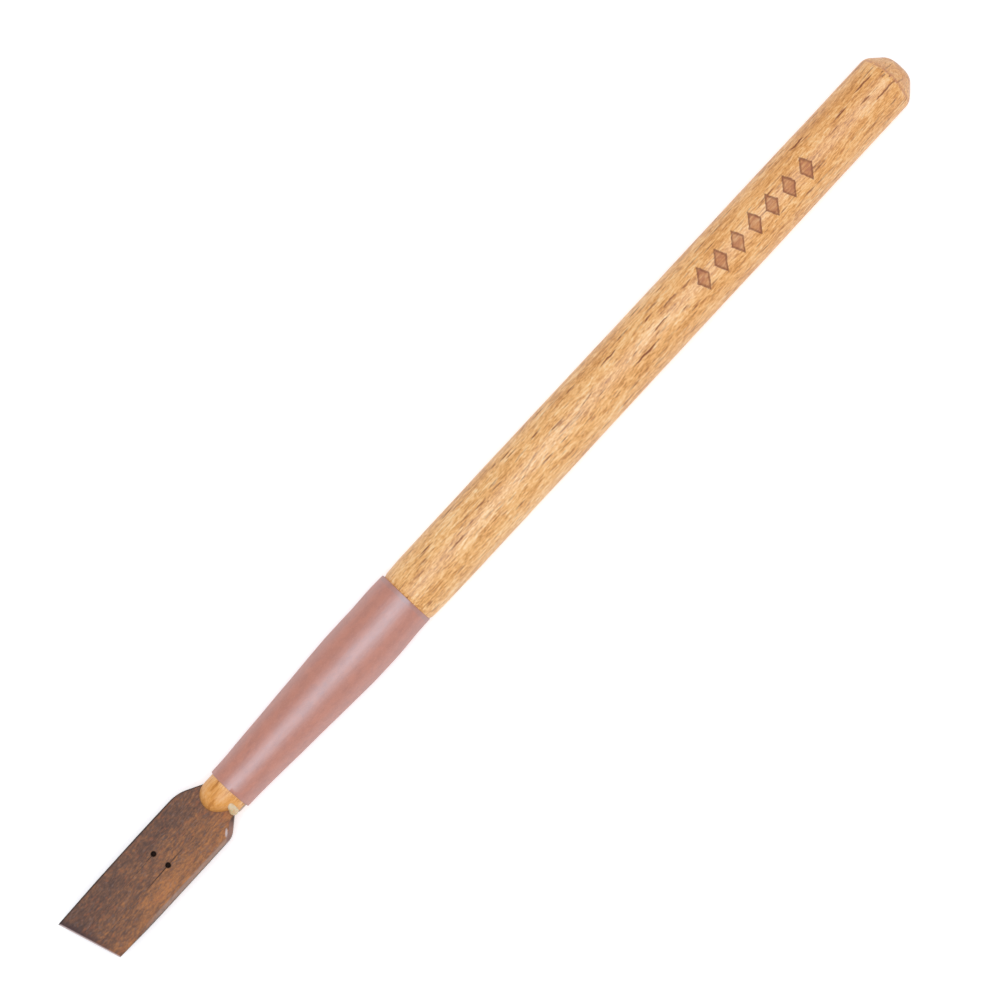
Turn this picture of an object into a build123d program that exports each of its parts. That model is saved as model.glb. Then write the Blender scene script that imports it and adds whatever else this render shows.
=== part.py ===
from build123d import *
import os
from math import atan2, degrees

# A broad-edge calligraphy pen with a wooden nib plate.
#
# A turned beech handle has a thin front end that is sawn open. The tang of a dark hardwood nib plate
# is glued into that kerf, and a heat-shrink sleeve grips the taper behind it and holds the jaws shut.
#
# Millimetres. +X runs along the axis from the writing edge to the butt, and +Z is up, with the flat
# face of the nib upwards. The pen lies on Z = 0, and the origin is below the middle of its length.

# Overall
handle_length = 159.0      # front end to butt
nib_reach = 28.8           # long corner of the writing edge to the handle's front end

# Handle, measured from its front end
front_radius = 3.55        # bare front end, where the jaws show
nose_round = 2.8           # rounding of the front end
bare_front = 4.7           # bare length in front of the sleeve
grip_straight = 3.1        # straight stretch under the front of the sleeve
taper_length = 24.9        # taper from the straight stretch up to the swell
taper_radius = 4.82        # end of the taper
swell_length = 3.5         # from the end of the taper to the thickest point of the grip
swell_radius = 4.87
neck_radius = 4.75         # where the sleeve ends
neck_length = 0.8          # bare neck behind the sleeve
neck_rise = 1.6            # slope from the neck up to the barrel
barrel_radius = 4.97
butt_taper = 3.45          # length of the steep cone at the butt
butt_flat_radius = 1.75    # small flat at its end
butt_round = 2.0           # rounding before and after the cone

# Kerf and glue
kerf_depth = 26.0
glue_gap = 0.1             # glue film over and under the tang
tang_end_gap = 1.0         # glue between the tang's end and the bottom of the kerf

# Heat-shrink sleeve
sleeve_length = 40.6
sleeve_wall = 0.33

# Nib plate
nib_thickness = 1.8
nib_width = 11.24          # across the shoulders
tip_inset = 0.52           # how much narrower the plate is at its long corner
short_inset = 0.12         # and at its short corner
edge_set_back = 2.9        # the slanted writing edge's short corner lies this much further back
left_shoulder = 27.1       # long corner of the writing edge to the +Y shoulder
left_shoulder_run = 6.2    # length of that shoulder's slope
left_shoulder_round = 4.0
right_shoulder = 28.6
right_shoulder_run = 3.6
right_shoulder_round = 2.0
tang_width = 5.0
tang_root_round = 1.2
tang_end_round = 0.6

# Writing edge
bevel_length = 6.0         # long bevel on the underside
edge_thickness = 0.4
easing_length = 0.25       # narrow flat on the upper arris
easing_depth = 0.15

# Ink holes and slits
hole_radius = 0.4
left_hole = (18.1, 1.70)   # distance from the long corner, distance from the axis
right_hole = (18.4, -1.18)
slit_width = 0.12
slit_skew = 1.7            # degrees: the slits follow the grain

# Squeezed-out glue at the kerf's mouth
bead_radii = (0.9, 0.95, 1.05)
bead_behind_front = 2.9    # bead's middle behind the handle's front end
bead_across = 0.83         # its middle across the axis, as a share of the front radius
bead_over_plate = 0.7      # its middle above the plate's upper face

cut_margin = 1.0           # how far each cutting shape stands out of what it cuts

# Derived places along the axis
overall_length = nib_reach + handle_length
tip_x = -overall_length / 2
front_x = tip_x + nib_reach
butt_x = front_x + handle_length
sleeve_front_x = front_x + bare_front
sleeve_back_x = sleeve_front_x + sleeve_length
neck_end_x = sleeve_back_x + neck_length
barrel_start_x = neck_end_x + neck_rise
barrel_end_x = butt_x - butt_taper
kerf_end_x = front_x + kerf_depth
tang_end_x = kerf_end_x - tang_end_gap
axis_z = swell_radius + sleeve_wall
kerf_height = nib_thickness + 2 * glue_gap


def grip_stations():
    """Axial place and radius of the handle's surface under the sleeve, from front to back."""
    taper_start = sleeve_front_x + grip_straight
    taper_end = taper_start + taper_length
    return [
        (sleeve_front_x, front_radius),
        (taper_start, front_radius),
        (taper_end, taper_radius),
        (taper_end + swell_length, swell_radius),
        (sleeve_back_x, neck_radius),
    ]


def turned(edges):
    """Solid of revolution about the pen's axis, from a closed profile of (x, radius) edges."""
    profile = make_face(Curve() + edges)
    return Pos(0, 0, axis_z) * revolve(profile, Axis.X, 360)


def handle_blank():
    """The dowel before the kerf is sawn: rounded nose, grip, neck, barrel and blunt conical butt."""
    nose_flat = front_radius - nose_round
    nose_centre = (front_x + nose_round, nose_flat)
    surface = [(front_x + nose_round, front_radius)] + grip_stations()
    surface += [(neck_end_x, neck_radius), (barrel_start_x, barrel_radius)]
    barrel = [(barrel_start_x, barrel_radius), (barrel_end_x, barrel_radius)]
    butt = [(butt_x, butt_flat_radius), (butt_x, 0)]
    return turned([
        Line((front_x, 0), (front_x, nose_flat)),
        CenterArc(nose_centre, nose_round, 180, -90),
        Polyline(*surface),
        FilletPolyline(*barrel, *butt, radius=butt_round),
        Line((butt_x, 0), (front_x, 0)),
    ])


def kerf_slot():
    """The sawn slot that the tang is glued into, right across the front end."""
    length = kerf_depth + cut_margin
    width = 2 * (swell_radius + cut_margin)
    slot = Box(length, width, kerf_height, align=(Align.MAX, Align.CENTER, Align.CENTER))
    return Pos(kerf_end_x, 0, axis_z) * slot


def handle():
    return handle_blank() - kerf_slot()


def grip_sleeve():
    """Shrunk tube that follows the grip at an even wall."""
    inner = grip_stations()
    outer = [(x, r + sleeve_wall) for x, r in inner]
    return turned([Polyline(*inner, *reversed(outer), close=True)])


def nib_outline():
    """Plan of the plate: slanted writing edge, two shoulders of different slope, and the tang."""
    half = nib_width / 2
    tang = tang_width / 2
    corners = [
        ((tip_x, half - tip_inset), 0),
        ((tip_x + edge_set_back, -half + short_inset), 0),
        ((tip_x + right_shoulder, -half), right_shoulder_round),
        ((tip_x + right_shoulder + right_shoulder_run, -tang), tang_root_round),
        ((tang_end_x, -tang), tang_end_round),
        ((tang_end_x, tang), tang_end_round),
        ((tip_x + left_shoulder + left_shoulder_run, tang), tang_root_round),
        ((tip_x + left_shoulder, half), left_shoulder_round),
    ]
    points = [point for point, _ in corners]
    radii = [radius for _, radius in corners]
    return make_face(FilletPolyline(*points, radius=radii, close=True))


def edge_cutter(profile):
    """Bar along the writing edge, whose profile is (distance behind the edge, height over mid-plate)."""
    half = nib_width / 2
    start = (tip_x, half - tip_inset)
    end = (tip_x + edge_set_back, -half + short_inset)
    slant = degrees(atan2(end[0] - start[0], start[1] - end[1]))
    middle = ((start[0] + end[0]) / 2, (start[1] + end[1]) / 2, axis_z)
    section = Plane.XZ * make_face(Polyline(*profile, close=True))
    return Pos(*middle) * Rot(0, 0, slant) * extrude(section, nib_width, both=True)


def edge_bevel():
    """Long bevel under the writing edge, which leaves the thin writing land."""
    top = nib_thickness / 2
    land = top - easing_depth - edge_thickness
    front = -cut_margin
    under = -top - cut_margin
    return edge_cutter([(front, land), (0, land), (bevel_length, -top), (bevel_length, under), (front, under)])


def edge_easing():
    """Narrow flat that takes the upper arris off the writing edge."""
    top = nib_thickness / 2
    low = top - easing_depth
    front = -cut_margin
    over = top + cut_margin
    return edge_cutter([(front, low), (0, low), (easing_length, top), (easing_length, over), (front, over)])


def ink_hole(place):
    """A drilled hole and the slit that runs from it out through the writing edge."""
    distance, offset = place
    deep = nib_thickness + 2 * cut_margin
    hole = Cylinder(hole_radius, deep)
    slit = Box(nib_reach, slit_width, deep, align=(Align.MAX, Align.CENTER, Align.CENTER))
    return Pos(tip_x + distance, offset, axis_z) * (hole + Rot(0, 0, slit_skew) * slit)


def nib():
    plate = Pos(0, 0, axis_z) * extrude(nib_outline(), nib_thickness / 2, both=True)
    return plate - edge_bevel() - edge_easing() - ink_hole(left_hole) - ink_hole(right_hole)


def glue_line(plate):
    """Cured glue that fills the kerf round the tang, flush with the handle's surface."""
    return (handle_blank() & kerf_slot()) - plate


def glue_bead(plate):
    """Drop of glue squeezed out on to the side of the upper jaw, at the -Y shoulder."""
    x = front_x + bead_behind_front
    y = -bead_across * front_radius
    z = axis_z + nib_thickness / 2 + bead_over_plate
    ball = Pos(x, y, z) * scale(Sphere(1), bead_radii)
    return ball - handle_blank() - plate


def main():
    plate = nib()
    pieces = {
        "handle": handle(),
        "nib": plate,
        "grip_sleeve": grip_sleeve(),
        "glue_line": glue_line(plate),
        "glue_bead": glue_bead(plate),
    }
    os.makedirs("parts", exist_ok=True)
    for name, piece in pieces.items():
        export_step(piece, f"parts/{name}.step")


main()
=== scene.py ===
from math import cos, pi, radians, sin

import bmesh
import bpy
import numpy as np
from mathutils import Matrix, Vector


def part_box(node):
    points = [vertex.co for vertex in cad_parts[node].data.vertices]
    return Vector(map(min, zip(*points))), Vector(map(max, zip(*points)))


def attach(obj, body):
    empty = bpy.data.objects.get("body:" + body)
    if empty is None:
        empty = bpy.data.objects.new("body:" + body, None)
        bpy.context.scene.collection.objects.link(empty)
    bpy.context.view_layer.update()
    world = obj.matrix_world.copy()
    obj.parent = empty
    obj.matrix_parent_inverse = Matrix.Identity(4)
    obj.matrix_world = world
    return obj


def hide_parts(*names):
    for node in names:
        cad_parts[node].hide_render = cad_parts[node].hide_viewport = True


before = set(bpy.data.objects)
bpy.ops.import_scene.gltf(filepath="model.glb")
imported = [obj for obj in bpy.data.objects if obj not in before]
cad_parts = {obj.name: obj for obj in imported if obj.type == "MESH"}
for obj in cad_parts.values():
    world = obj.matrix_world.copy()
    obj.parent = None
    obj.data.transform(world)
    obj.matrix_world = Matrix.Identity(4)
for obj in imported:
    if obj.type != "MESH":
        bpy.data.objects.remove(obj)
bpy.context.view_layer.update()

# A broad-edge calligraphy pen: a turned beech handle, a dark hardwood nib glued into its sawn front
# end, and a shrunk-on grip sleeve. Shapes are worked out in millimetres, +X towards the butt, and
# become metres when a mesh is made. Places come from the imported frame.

MM = 0.001


def span(node):
    """Lowest and highest corner of a node of the frame, in millimetres."""
    low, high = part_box(node)
    return np.array(low) / MM, np.array(high) / MM


handle_low, handle_high = span("handle")
nib_low, nib_high = span("nib")
sleeve_low, sleeve_high = span("grip_sleeve")
glue_low, glue_high = span("glue_line")
bead_low, bead_high = span("glue_bead")

TIP_X = nib_low[0]
FRONT_X = handle_low[0]
BUTT_X = handle_high[0]
KERF_END_X = glue_high[0]
AXIS_Z = (handle_low[2] + handle_high[2]) / 2
NIB_TOP = nib_high[2] - AXIS_Z
KERF_HALF = (glue_high[2] - glue_low[2]) / 2

# Sizes of the handle, along the axis from its front end
NOSE_START = 0.22               # the soft front edge is worn back this far
NOSE_ROUND = 2.8
NOSE_FLAT_RADIUS = 0.95
NOSE_SKEW = 0.215               # how strongly the nose is cut back towards -Y
NOSE_SKEW_LENGTH = 4.6
BARE_RADIUS = 3.59
STATIONS = [                    # length and radius of the corners of the profile, behind the nose
    (NOSE_ROUND, BARE_RADIUS), (7.8, 3.64), (32.7, 4.86), (36.6, 4.86), (40.5, 4.80), (45.6, 4.68),
    (46.3, 4.94), (49.2, 5.07), (59.0, 5.11), (84.0, 5.09), (99.0, 5.02), (131.0, 5.01), (147.0, 4.94),
    (153.5, 4.96),
]
GRIP_STATIONS = 6               # how many of them lie under the sleeve
# Radius of the arc at each corner after the first, the butt's cone included
BENDS = [6, 30, 12, 12, 0.5, 0.6, 6, 20, 60, 60, 60, 30, 40, 2.4, 2.6]
CONE_START = (156.0, 4.97)      # length and radius where the butt's cone begins
CONE_END_RADIUS = 2.22
END_DIMPLE = 0.5                # radius at which the butt's flat end closes
SLEEVE_WALL = 0.33
SLEEVE_CREEP = (0.25, 0.45)     # how far its two rims have crept towards the butt
TURNS = 144                     # steps round the handle and the sleeve
UNEVEN = 0.018                  # height of the handle's slight unevenness


# ---------------------------------------------------------------- numpy shapes

def ripple(x, angle, size, seed, waves=6, along=9.0, around=4):
    """Smooth unevenness: a sum of sines of the length and of whole turns, with seeded phases."""
    local = np.random.default_rng(seed)
    total = np.zeros(np.broadcast(x, angle).shape)
    for _ in range(waves):
        pace = local.uniform(0.3, 1.0) / along
        turn = local.integers(0, around + 1)
        phase = local.uniform(0, 2 * pi, 2)
        total += np.sin(2 * pi * pace * x + phase[0]) * np.cos(turn * angle + phase[1])
    return size * total / waves**0.5


def smoothstep(low, high, value):
    """0 at low, 1 at high, and between them three times the square less twice the cube of the share."""
    t = np.clip((value - low) / (high - low), 0, 1)
    return t * t * (3 - 2 * t)


def rounded(corners, radii, steps=10):
    """Profile through the corners, in which an arc of the given radius replaces each inner corner."""
    corners = np.array(corners, float)
    profile = [corners[:1]]
    for before, corner, after, radius in zip(corners, corners[1:], corners[2:], radii):
        come = (before - corner) / np.linalg.norm(before - corner)
        leave = (after - corner) / np.linalg.norm(after - corner)
        half = np.arccos(np.clip(come @ leave, -1, 1)) / 2
        reach = radius / np.tan(half)
        middle = (come + leave) / np.linalg.norm(come + leave)
        centre = corner + middle * radius / np.sin(half)
        start, end = corner + come * reach - centre, corner + leave * reach - centre
        t = np.linspace(0, 1, steps)[:, None]
        angle = np.arccos(np.clip(start @ end / radius**2, -1, 1))
        arc = (np.sin((1 - t) * angle) * start + np.sin(t * angle) * end) / np.sin(angle)
        profile.append(centre + arc)
    profile.append(corners[-1:])
    return np.concatenate(profile)


def resample(profile, step):
    """The same profile with points at most one step apart, so that long runs carry detail."""
    pieces = [profile[:1]]
    for a, b in zip(profile, profile[1:]):
        count = max(1, int(np.ceil(np.linalg.norm(b - a) / step)))
        pieces.append(a + (b - a) * np.linspace(0, 1, count + 1)[1:, None])
    return np.concatenate(pieces)


def mesh_of(name, points, faces, sharp=40, solid=True):
    """Mesh in metres from points in millimetres, smooth except across edges sharper than the angle.

    The faces of a solid are turned outwards."""
    mesh = bpy.data.meshes.new(name)
    mesh.from_pydata((points * MM).tolist(), [], faces)
    if solid:
        shape = bmesh.new()
        shape.from_mesh(mesh)
        bmesh.ops.recalc_face_normals(shape, faces=shape.faces)
        shape.to_mesh(mesh)
        shape.free()
    mesh.polygons.foreach_set("use_smooth", np.ones(len(mesh.polygons), bool))
    mesh.set_sharp_from_angle(angle=radians(sharp))
    mesh.update()
    return mesh


def piece_of(name, mesh):
    """Object at the origin for a mesh, a light or a camera."""
    made = bpy.data.objects.new(name, mesh)
    bpy.context.scene.collection.objects.link(made)
    return made


def ring_faces(rows, columns, closed_rows=False):
    """Quads of a grid whose columns run right round, and its rows too if closed_rows."""
    last = rows if closed_rows else rows - 1
    i, j = np.meshgrid(np.arange(last), np.arange(columns), indexing="ij")
    down, right = (i + 1) % rows, (j + 1) % columns
    quads = np.stack([i * columns + j, i * columns + right, down * columns + right, down * columns + j], -1)
    return quads.reshape(-1, 4).tolist()


def turned_piece(name, grid, first, last, sharp=40):
    """Closed solid from rings (rows, columns, 3) and one pole point at each end."""
    rows, columns = grid.shape[:2]
    points = np.concatenate([grid.reshape(-1, 3), [first, last]])
    turn = np.arange(columns)
    after = (turn + 1) % columns
    start, end = rows * columns, rows * columns + 1
    base = (rows - 1) * columns
    faces = ring_faces(rows, columns)
    faces += np.stack([np.full(columns, start), after, turn], -1).tolist()
    faces += np.stack([np.full(columns, end), base + turn, base + after], -1).tolist()
    return piece_of(name, mesh_of(name, points, faces, sharp))


def carved(piece, cutters, operation="DIFFERENCE", sharp=30):
    """The piece with each cutter taken away, or kept where they meet, as one finished mesh."""
    for cutter in cutters:
        modifier = piece.modifiers.new("carve", "BOOLEAN")
        modifier.object = cutter
        modifier.operation = operation
        modifier.solver = "EXACT"
    bpy.context.view_layer.update()
    graph = bpy.context.evaluated_depsgraph_get()
    mesh = bpy.data.meshes.new_from_object(piece.evaluated_get(graph))
    piece.modifiers.clear()
    piece.data = mesh
    mesh.polygons.foreach_set("use_smooth", np.ones(len(mesh.polygons), bool))
    mesh.set_sharp_from_angle(angle=radians(sharp))
    return piece


def discard(pieces):
    """Takes the used cutters out of the scene."""
    for piece in pieces:
        bpy.data.objects.remove(piece)


# ---------------------------------------------------------------- handle

def handle_profile():
    """Radius against length: rounded nose, grip taper, neck, barrel, blunt cone and small end flat."""
    turn = np.linspace(0, pi / 2, 16)
    along = NOSE_START + (NOSE_ROUND - NOSE_START) * (1 - np.sin(turn))
    nose = np.stack([along, NOSE_FLAT_RADIUS + (BARE_RADIUS - NOSE_FLAT_RADIUS) * np.cos(turn)], -1)[::-1]
    length = BUTT_X - FRONT_X
    butt = [CONE_START, (length, CONE_END_RADIUS), (length, END_DIMPLE)]
    body = rounded(STATIONS + butt, BENDS)
    return resample(np.concatenate([nose, body]), 0.5)


def handle_rings(profile, proud=0.0):
    """Rings about the axis, with a slightly uneven surface.

    The nose is set back by the square of the distance towards -Y, so that it points towards +Y. The butt
    leans a little: its +Y side is set back in proportion to y."""
    angle = np.linspace(0, 2 * pi, TURNS, endpoint=False)
    along, radius = profile[:, :1], profile[:, 1:] + proud
    radius = radius + ripple(along, angle, UNEVEN, 3) * smoothstep(0.3, 2.0, radius)
    y, z = radius * np.sin(angle), radius * np.cos(angle)
    skew = NOSE_SKEW * np.clip(0.8 - y, 0, 3.15)**2 * np.clip(1 - along / NOSE_SKEW_LENGTH, 0, 1)
    lean = 0.045 * y * smoothstep(150, 158, along)
    x = FRONT_X + along + skew + lean * (BUTT_X - FRONT_X - along) / 4
    return np.stack([x, y, AXIS_Z + z], -1)


SAW_OUT = (5, 8)                # the saw's box starts this far in front, and is this wide to each side


def box_piece(name, low, high):
    """Plain box, used as a saw cut."""
    grid = np.array([[x, y, z] for x in (low[0], high[0]) for y in (low[1], high[1])
                     for z in (low[2], high[2])], float)
    faces = [(0, 1, 3, 2), (4, 6, 7, 5), (0, 4, 5, 1), (2, 3, 7, 6), (0, 2, 6, 4), (1, 5, 7, 3)]
    return piece_of(name, mesh_of(name, grid, faces))


def saw_cut(spare):
    """The kerf, less the given spare on every side."""
    low = (FRONT_X - SAW_OUT[0], -SAW_OUT[1], AXIS_Z - KERF_HALF + spare)
    high = (KERF_END_X - spare, SAW_OUT[1], AXIS_Z + KERF_HALF - spare)
    return box_piece("saw_cut", low, high)


LOZENGES = 7
LOZENGE_PITCH = 3.9
LOZENGE_START = BUTT_X - 47.3
LOZENGE_HALF = (1.30, 2.0)      # half length along the axis, and half height across it
LOZENGE_Y = -0.55
LOZENGE_LEAN = 0.22             # they lean towards the butt
BURNED_RADIUS = 4.86            # radius of the floor of the burn
STAMP_POINTS = 11               # points along each side of a stamp
STAMP_TOP = 6.0                 # its upper face, over the axis


def lozenge_stamp(number):
    """Stamp for one burned lozenge: its lower face follows the barrel at the depth of the burn.

    Half the sum of the two parameters runs along the axis, and half their difference across it."""
    u, v = np.meshgrid(*[np.linspace(-1, 1, STAMP_POINTS)] * 2, indexing="ij")
    side = (u - v) / 2 * LOZENGE_HALF[1]
    middle = LOZENGE_START + LOZENGE_PITCH * (number + 0.5)
    x = middle + (u + v) / 2 * LOZENGE_HALF[0] + LOZENGE_LEAN * side
    y = LOZENGE_Y + side
    lower = AXIS_Z + np.sqrt(BURNED_RADIUS**2 - y**2)
    upper = 0 * x + AXIS_Z + STAMP_TOP
    points = np.concatenate([np.stack([x, y, z], -1).reshape(-1, 3) for z in (lower, upper)])
    index = np.arange(STAMP_POINTS**2).reshape(STAMP_POINTS, STAMP_POINTS)
    sheet = np.stack([index[:-1, :-1], index[:-1, 1:], index[1:, 1:], index[1:, :-1]], -1).reshape(-1, 4)
    rim = np.concatenate([index[:-1, 0], index[-1, :-1], index[:0:-1, -1], index[0, :0:-1]])
    after = np.roll(rim, -1)
    wall = np.stack([rim, after, after + index.size, rim + index.size], -1)
    faces = np.concatenate([sheet, sheet[:, ::-1] + index.size, wall])
    return piece_of("stamp", mesh_of("stamp", points, faces.tolist()))


def make_handle():
    """Turned blank with the saw cut and the burned lozenges taken out of it."""
    grid = handle_rings(handle_profile())
    blank = turned_piece("handle_wood", grid, grid[0].mean(0), grid[-1].mean(0))
    cutters = [saw_cut(0)] + [lozenge_stamp(number) for number in range(LOZENGES)]
    carved(blank, cutters)
    discard(cutters)
    return blank


# ---------------------------------------------------------------- sleeve

def make_sleeve():
    """Shrunk tube: the grip's profile plus the wall, with rounded rims, ripples and a shifted rear lip.

    The profile runs along the outside, over the rear rim, back along the inside and over the front rim.
    Each change to the radius counts in full outside and not at all inside."""
    start = sleeve_low[0] - FRONT_X + SLEEVE_CREEP[0]
    end = sleeve_high[0] - FRONT_X + SLEEVE_CREEP[1]
    grip = rounded(STATIONS[:GRIP_STATIONS], BENDS)
    along = np.linspace(start, end, 110)
    inner = np.interp(along, grip[:, 0], grip[:, 1])
    half = SLEEVE_WALL / 2
    rim = np.linspace(0, pi, 9)[1:-1]
    bulge = half * 0.5 * (1 - np.sin(rim))
    front = np.stack([start + bulge, inner[0] + half - half * np.cos(rim)], -1)
    back = np.stack([end - bulge, inner[-1] + half + half * np.cos(rim)], -1)
    outer = np.stack([along, inner + SLEEVE_WALL], -1)[2:-2]
    under = np.stack([along, inner], -1)[2:-2][::-1]
    profile = np.concatenate([outer, back, under, front])

    angle = np.linspace(0, 2 * pi, TURNS, endpoint=False)
    length, radius = profile[:, :1], profile[:, 1:]
    share = np.clip((radius - np.interp(length, along, inner)) / SLEEVE_WALL, 0, 1)
    lip = smoothstep(end - 8.0, end - 2.0, length) * (0.045 + 0.19 * np.sin(angle))
    dent = 0.02 * np.exp(-((length - start) / 1.2)**2) * np.cos(angle - 2.4)**2
    waves = ripple(length, angle, 0.012, 21, waves=9, along=7) - 0.012
    radius = radius + share * (waves + lip - dent)
    uneven_ends = smoothstep(end - 2, end, length) - smoothstep(start + 2, start, length)
    x = FRONT_X + length + share * 0.04 * np.sin(2 * angle + 0.6) * uneven_ends
    grid = np.stack([x, radius * np.sin(angle), AXIS_Z + radius * np.cos(angle)], -1)
    faces = ring_faces(*grid.shape[:2], closed_rows=True)
    return piece_of("shrink_sleeve", mesh_of("shrink_sleeve", grid.reshape(-1, 3), faces, 50))


# ---------------------------------------------------------------- nib

EDGE_SET_BACK = 2.9             # the short corner of the writing edge lies this much further back
LONG_CORNER_Y = 5.20
SHORT_CORNER_Y = -5.43
SQUARED_AT = 24.0               # rows across the plate are square to the axis from here
BEVEL_LENGTH = 6.0              # the underside rises to the writing edge over this length
LAND = 0.4                      # thickness left at the writing edge
EASING = (0.28, 0.16)           # length and depth of the eased upper arris
ARRIS = 0.11                    # width of the other worn arrises
SHOULDER_FACET = 0.62           # width of the sanded facet on the -Y shoulder
# Corners of the +Y and -Y sides: distance behind the long corner, and distance from the axis
LEFT_SIDE = [(0, LONG_CORNER_Y), (9, 5.45), (18, 5.57), (27.6, 5.58), (33.4, 2.50), (53.8, 2.50)]
LEFT_BENDS = [60, 60, 6.5, 1.0]
RIGHT_SIDE = [
    (EDGE_SET_BACK, -SHORT_CORNER_Y), (11, 5.49), (20, 5.46), (28.5, 5.40), (32.3, 2.50), (53.8, 2.50),
]
RIGHT_BENDS = [60, 60, 2.6, 0.8]


def side_line(corners, radii):
    """Distance from the axis as a function of x, along the corners with arcs between them."""
    line = rounded(corners, radii, 8)
    return lambda x: np.interp(x - TIP_X, line[:, 0], line[:, 1])


def nib_rows():
    """Places of the rows across the plate, behind the writing edge, close together where it bends."""
    return np.concatenate([
        [0, 0.14, 0.28, 0.45, 0.8], np.arange(1.3, 5.6, 0.5), [5.8, 6.0, 6.2, 6.6], np.arange(7.2, 24, 0.6),
        np.arange(24.1, 32.0, 0.22), np.arange(32.1, 52.1, 1.0), [52.35],
    ])


def make_plate():
    """Plate as rings carried along its length.

    Each ring runs from the -Y side wall over the chamfered arris, across the top, down the +Y wall and
    back across the underside. The rows near the tip are sheared so that they lie along the slanted
    writing edge. The underside rises to the edge's land, and the top eases down to it."""
    behind = nib_rows()[:, None]
    across = np.linspace(-1, 1, 56)[None, :]
    mean = EDGE_SET_BACK / 2
    shear = 1 - smoothstep(2, SQUARED_AT, behind)

    def x_at(fraction):
        """Place along the axis at a share of the half width, from -1 at -Y to 1 at +Y."""
        return TIP_X + mean + behind - mean * fraction * shear

    y_left = side_line(LEFT_SIDE, LEFT_BENDS)(x_at(1))
    y_right = -side_line(RIGHT_SIDE, RIGHT_BENDS)(x_at(-1))
    station = behind + mean
    facet = SHOULDER_FACET * smoothstep(27.3, 28.3, station) * smoothstep(31.4, 30.0, station)
    chamfer_left = ARRIS + 0.10 * np.exp(-((station - 28.0) / 3)**2)
    chamfer_right = ARRIS + facet
    top = NIB_TOP - EASING[1] * (1 - np.clip(behind / EASING[0], 0, 1))
    rise = np.clip(1 - behind / BEVEL_LENGTH, 0, 1)
    floor = -NIB_TOP + rise * (2 * NIB_TOP - EASING[1] - LAND)
    thin = np.minimum(1, (top - floor) / (4 * ARRIS))
    under = ARRIS * thin

    def wall(y, z, fraction):
        """One column of points on a side wall: the +Y wall for a fraction of 1, the -Y wall for -1."""
        return np.stack([x_at(fraction), y, AXIS_Z + z], -1)

    def surface(height, inset_right, inset_left, seed):
        """Columns across the upper or lower face between the two insets, with low waves."""
        low, high = y_right + inset_right, y_left - inset_left
        y = low + (high - low) * (across + 1) / 2
        x = x_at(across)
        wave = ripple(x, y * 0.9, 0.010, seed, waves=8, along=14, around=3)
        return np.stack([x, y, AXIS_Z + height + wave * smoothstep(0.6, 3, behind)], -1)

    grid = np.concatenate([
        wall(y_right, top - chamfer_right * 0.8 * thin, -1.0),
        surface(top, chamfer_right * thin, chamfer_left * thin, 31),
        wall(y_left, top - chamfer_left * thin, 1.0),
        wall(y_left, floor + under, 1.0),
        surface(floor, under, under, 32)[:, ::-1],
        wall(y_right, floor + under, -1.0),
    ], 1)
    rows, columns = grid.shape[:2]
    faces = ring_faces(rows, columns)
    pair = np.arange(columns // 2 - 1)
    cap = np.stack([pair, pair + 1, columns - 2 - pair, columns - 1 - pair], -1)
    faces += cap.tolist() + (cap[:, ::-1] + (rows - 1) * columns).tolist()
    return piece_of("nib_plate", mesh_of("nib_plate", grid.reshape(-1, 3), faces, 25))


HOLES = [(18.25, 1.74), (18.55, -1.14)]     # distance behind the long corner, and offset to the side
HOLE_RADIUS = 0.37
INK_AND_SHADE_SKIN = (-0.1, 0.06)         # middle and half thickness of the dark skin that closes the holes: dried ink, and in part a dark sheet standing in for the shade in the bores
GLINT_AT = (28.4, -4.42)        # a painted highlight on the -Y shoulder
GLINT_TURN = radians(38)
SLIT_SKEW = radians(1.7)        # the slits follow the grain


def hole_cutter(place, side):
    """Drill from one face, flared at its mouth. The two bores stop at a dark skin between them: dried ink,
    and in part a sheet standing in for the shade deep in the bores.
    """
    height = np.array([INK_AND_SHADE_SKIN[1], 0.10, 0.80, 0.92, 1.6])[:, None]
    radius = HOLE_RADIUS + np.array([-0.10, 0, 0, 0.05, 0.07])[:, None]
    angle = side * np.linspace(0, 2 * pi, 40, endpoint=False)
    wobble = 1 + 0.03 * np.sin(3 * angle + place[0])
    x = TIP_X + place[0] + radius * wobble * np.cos(angle)
    y = place[1] + radius * wobble * np.sin(angle)
    grid = np.stack([x, y, AXIS_Z + INK_AND_SHADE_SKIN[0] + side * height + 0 * x], -1)
    return turned_piece("drill", grid, grid[0].mean(0), grid[-1].mean(0))


def slit_cutter(place, seed):
    """Hairline cut from the hole through the writing edge: a thin blade that follows the grain.

    It wanders by a sine of the length, and is widest at the hole and slightly open at the edge."""
    along = np.linspace(HOLE_RADIUS - 0.03, place[0] + 1.5, 60)[:, None]
    local = np.random.default_rng(seed)
    wander = 0.05 * np.sin(along * 0.5 + local.uniform(0, 6)) * smoothstep(0, 3, along)
    half = 0.010 + 0.040 * np.exp(-along / 1.2) + 0.012 * smoothstep(place[0] - 1.5, place[0], along)
    corner_y = np.array([[-1, 1, 1, -1]])
    corner_z = np.array([[-1.5, -1.5, 1.5, 1.5]])
    x = TIP_X + place[0] - along * cos(SLIT_SKEW)
    y = place[1] - along * sin(SLIT_SKEW) + wander + half * corner_y
    grid = np.stack(np.broadcast_arrays(x, y, AXIS_Z + corner_z), -1)
    return turned_piece("blade", grid, grid[0].mean(0), grid[-1].mean(0))


def make_nib():
    """Plate with the ink holes and the slits taken out of it."""
    plate = make_plate()
    cutters = [hole_cutter(place, side) for place in HOLES for side in (1, -1)]
    cutters += [slit_cutter(place, seed) for seed, place in enumerate(HOLES)]
    carved(plate, cutters, sharp=25)
    discard(cutters)
    return plate


# ---------------------------------------------------------------- glue

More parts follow.
